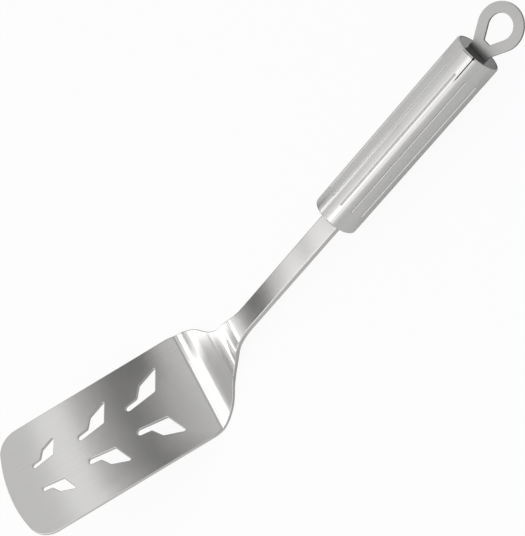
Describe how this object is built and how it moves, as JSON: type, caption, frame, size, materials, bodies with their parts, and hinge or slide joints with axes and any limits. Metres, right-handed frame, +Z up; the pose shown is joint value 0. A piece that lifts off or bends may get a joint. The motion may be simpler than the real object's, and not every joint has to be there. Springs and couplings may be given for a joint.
{
  "type": "slotted turner",
  "caption": "Slotted steel turner with an angled blade, a flat stem, a round hollow handle with lengthwise grooves, and a swivelling hanging loop.",
  "frame": {"origin": "on the surface that the turner lies on, under the middle of its bounding box", "axes": "+Z up as it lies at rest on its heel and the handle's lower mouth; +X from the blade's front edge towards the hanging loop; +Y across the blade, to the left when looking along +X"},
  "size_m": [0.3157, 0.0578, 0.0485],
  "materials": {
    "blade_steel": "satin polished",
    "handle_steel": "brushed lengthwise",
    "cap_steel": "mirror polished steel",
    "loop_steel": "matte",
    "plug_steel": "plain"
  },
  "bodies": {
    "handle": {"blade": "blade_steel", "front_plug": "plug_steel", "handle_tube": "handle_steel", "rear_plug": "plug_steel"},
    "swivel": {"swivel_cap": "cap_steel", "retaining_ring": "plug_steel", "hanging_loop": "loop_steel"}
  },
  "joints": [
    {"name": "loop_swivel", "type": "hinge", "parent": "handle", "child": "swivel", "pos_m": [0.13076, 0, 0.01454], "axis": [0.999, 0, 0.0447], "continuous": true}
  ]
}
